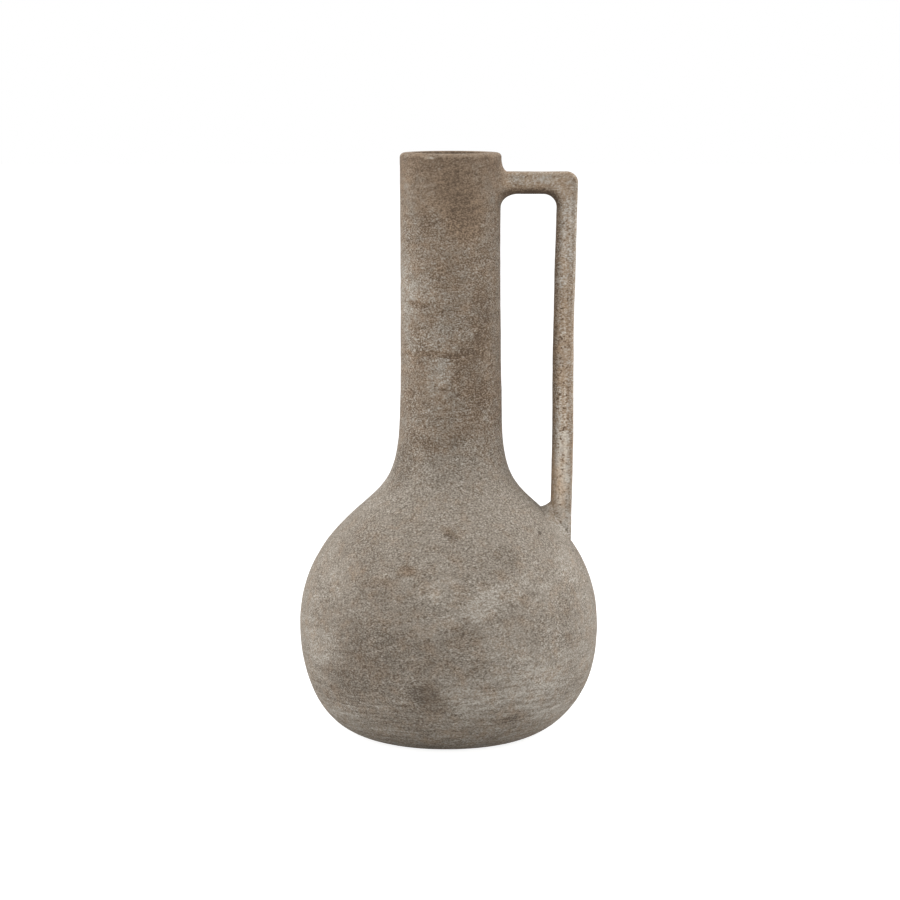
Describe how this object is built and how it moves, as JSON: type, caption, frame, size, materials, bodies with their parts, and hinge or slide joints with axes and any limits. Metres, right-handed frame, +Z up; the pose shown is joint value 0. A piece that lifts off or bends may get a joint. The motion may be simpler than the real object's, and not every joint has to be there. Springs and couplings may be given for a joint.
{
  "type": "terracotta vase",
  "caption": "Round-bellied bottle vase in washed grey-brown terracotta, with a tall straight neck and one squared strap handle; stands on a foot ring and holds stems and water.",
  "frame": {"origin": "centre of the foot on the surface that the vase stands on, on the axis of the neck and belly", "axes": "+Z up along the axis to the lip, +X towards the handle, +Y away from the viewer in the picture"},
  "size_m": [0.206, 0.206, 0.4],
  "materials": {
    "terracotta": "matt fired clay with sandy grain under a thin whitish wash",
    "slip": "matt dried luting slip",
    "glaze": "thin glossy brown lining glaze"
  },
  "bodies": {
    "root": {"base_disc": "terracotta", "floor_slip": "slip", "lower_bowl": "terracotta", "girth_slip": "slip", "shoulder_dome": "terracotta", "neck_slip": "slip", "neck": "terracotta", "inner_glaze": "glaze", "handle_arm": "terracotta", "arm_slip": "slip", "arm_root_fillet": "terracotta", "corner_slip": "slip", "handle_upright": "terracotta", "foot_slip": "slip", "upright_foot_fillet": "terracotta"}
  },
  "joints": []
}
